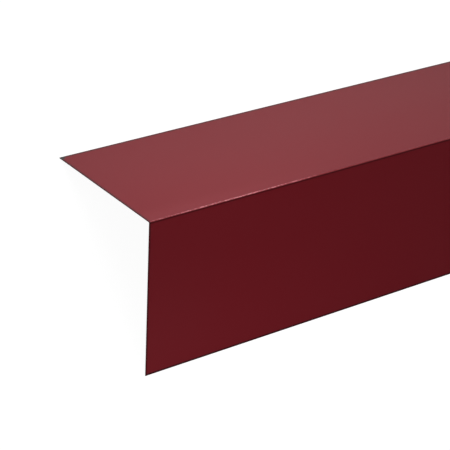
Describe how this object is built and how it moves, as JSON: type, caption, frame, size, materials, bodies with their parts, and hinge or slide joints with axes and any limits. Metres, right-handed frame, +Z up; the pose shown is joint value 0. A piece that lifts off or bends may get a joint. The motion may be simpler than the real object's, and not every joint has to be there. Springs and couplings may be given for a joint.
{
  "type": "eaves flashing",
  "caption": "Plain L-shaped strip of red coated steel sheet, folded once along its length; covers the edge of a roof deck and the top of the fascia at the eaves.",
  "frame": {"origin": "middle of the footprint at floor level, with the sheet lying on its two long edges and the fold uppermost", "axes": "+X along the fold, +Y towards the deck flange's side, +Z up"},
  "size_m": [2, 0.1476, 0.0711],
  "materials": {
    "wine_red_coated_steel": "satin"
  },
  "bodies": {
    "root": {"eaves_flashing": "wine_red_coated_steel"}
  },
  "joints": []
}
